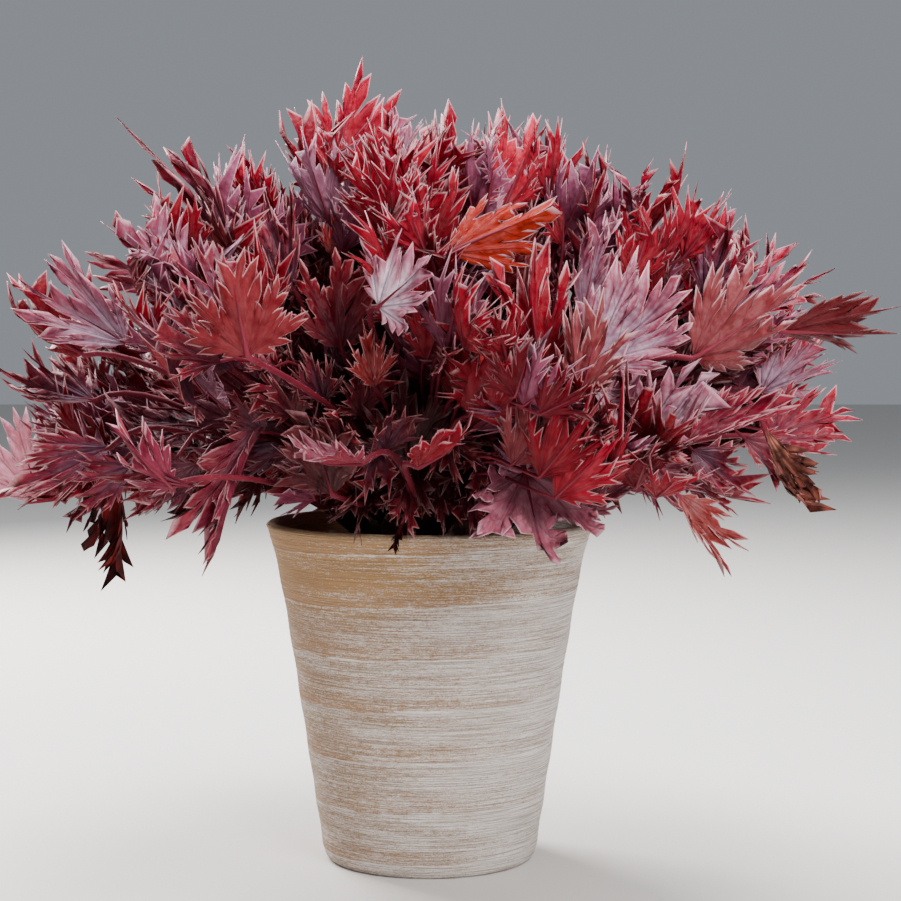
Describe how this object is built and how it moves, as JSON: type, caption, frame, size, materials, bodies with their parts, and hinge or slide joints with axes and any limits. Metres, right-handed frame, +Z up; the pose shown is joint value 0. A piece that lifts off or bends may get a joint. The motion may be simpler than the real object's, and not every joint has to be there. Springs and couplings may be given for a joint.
{
  "type": "potted coral bells",
  "caption": "Dense mound of deeply cut burgundy leaves on slender petioles, growing in a tall tapered whitewashed terracotta pot.",
  "frame": {"origin": "middle of the pot's flat underside, where it stands on a surface", "axes": "+Z up along the pot's axis; -Y towards the shown front of the plant; +X to the right as seen from the front"},
  "size_m": [0.4844, 0.4113, 0.424],
  "materials": {
    "terracotta": "unglazed terracotta, thrown, with a worn chalky whitewash in fine horizontal streaks",
    "soil": "moist dark potting soil, crumbly and matte",
    "foliage": "burgundy leaves, silvery purple on their upper faces and wine red underneath, softly glossy, with fine hairs"
  },
  "bodies": {
    "root": {"pot": "terracotta", "potting_soil": "soil", "rosette_centre": "foliage", "rosette_1": "foliage", "rosette_2": "foliage", "rosette_3": "foliage", "rosette_4": "foliage", "rosette_5": "foliage"}
  },
  "joints": []
}
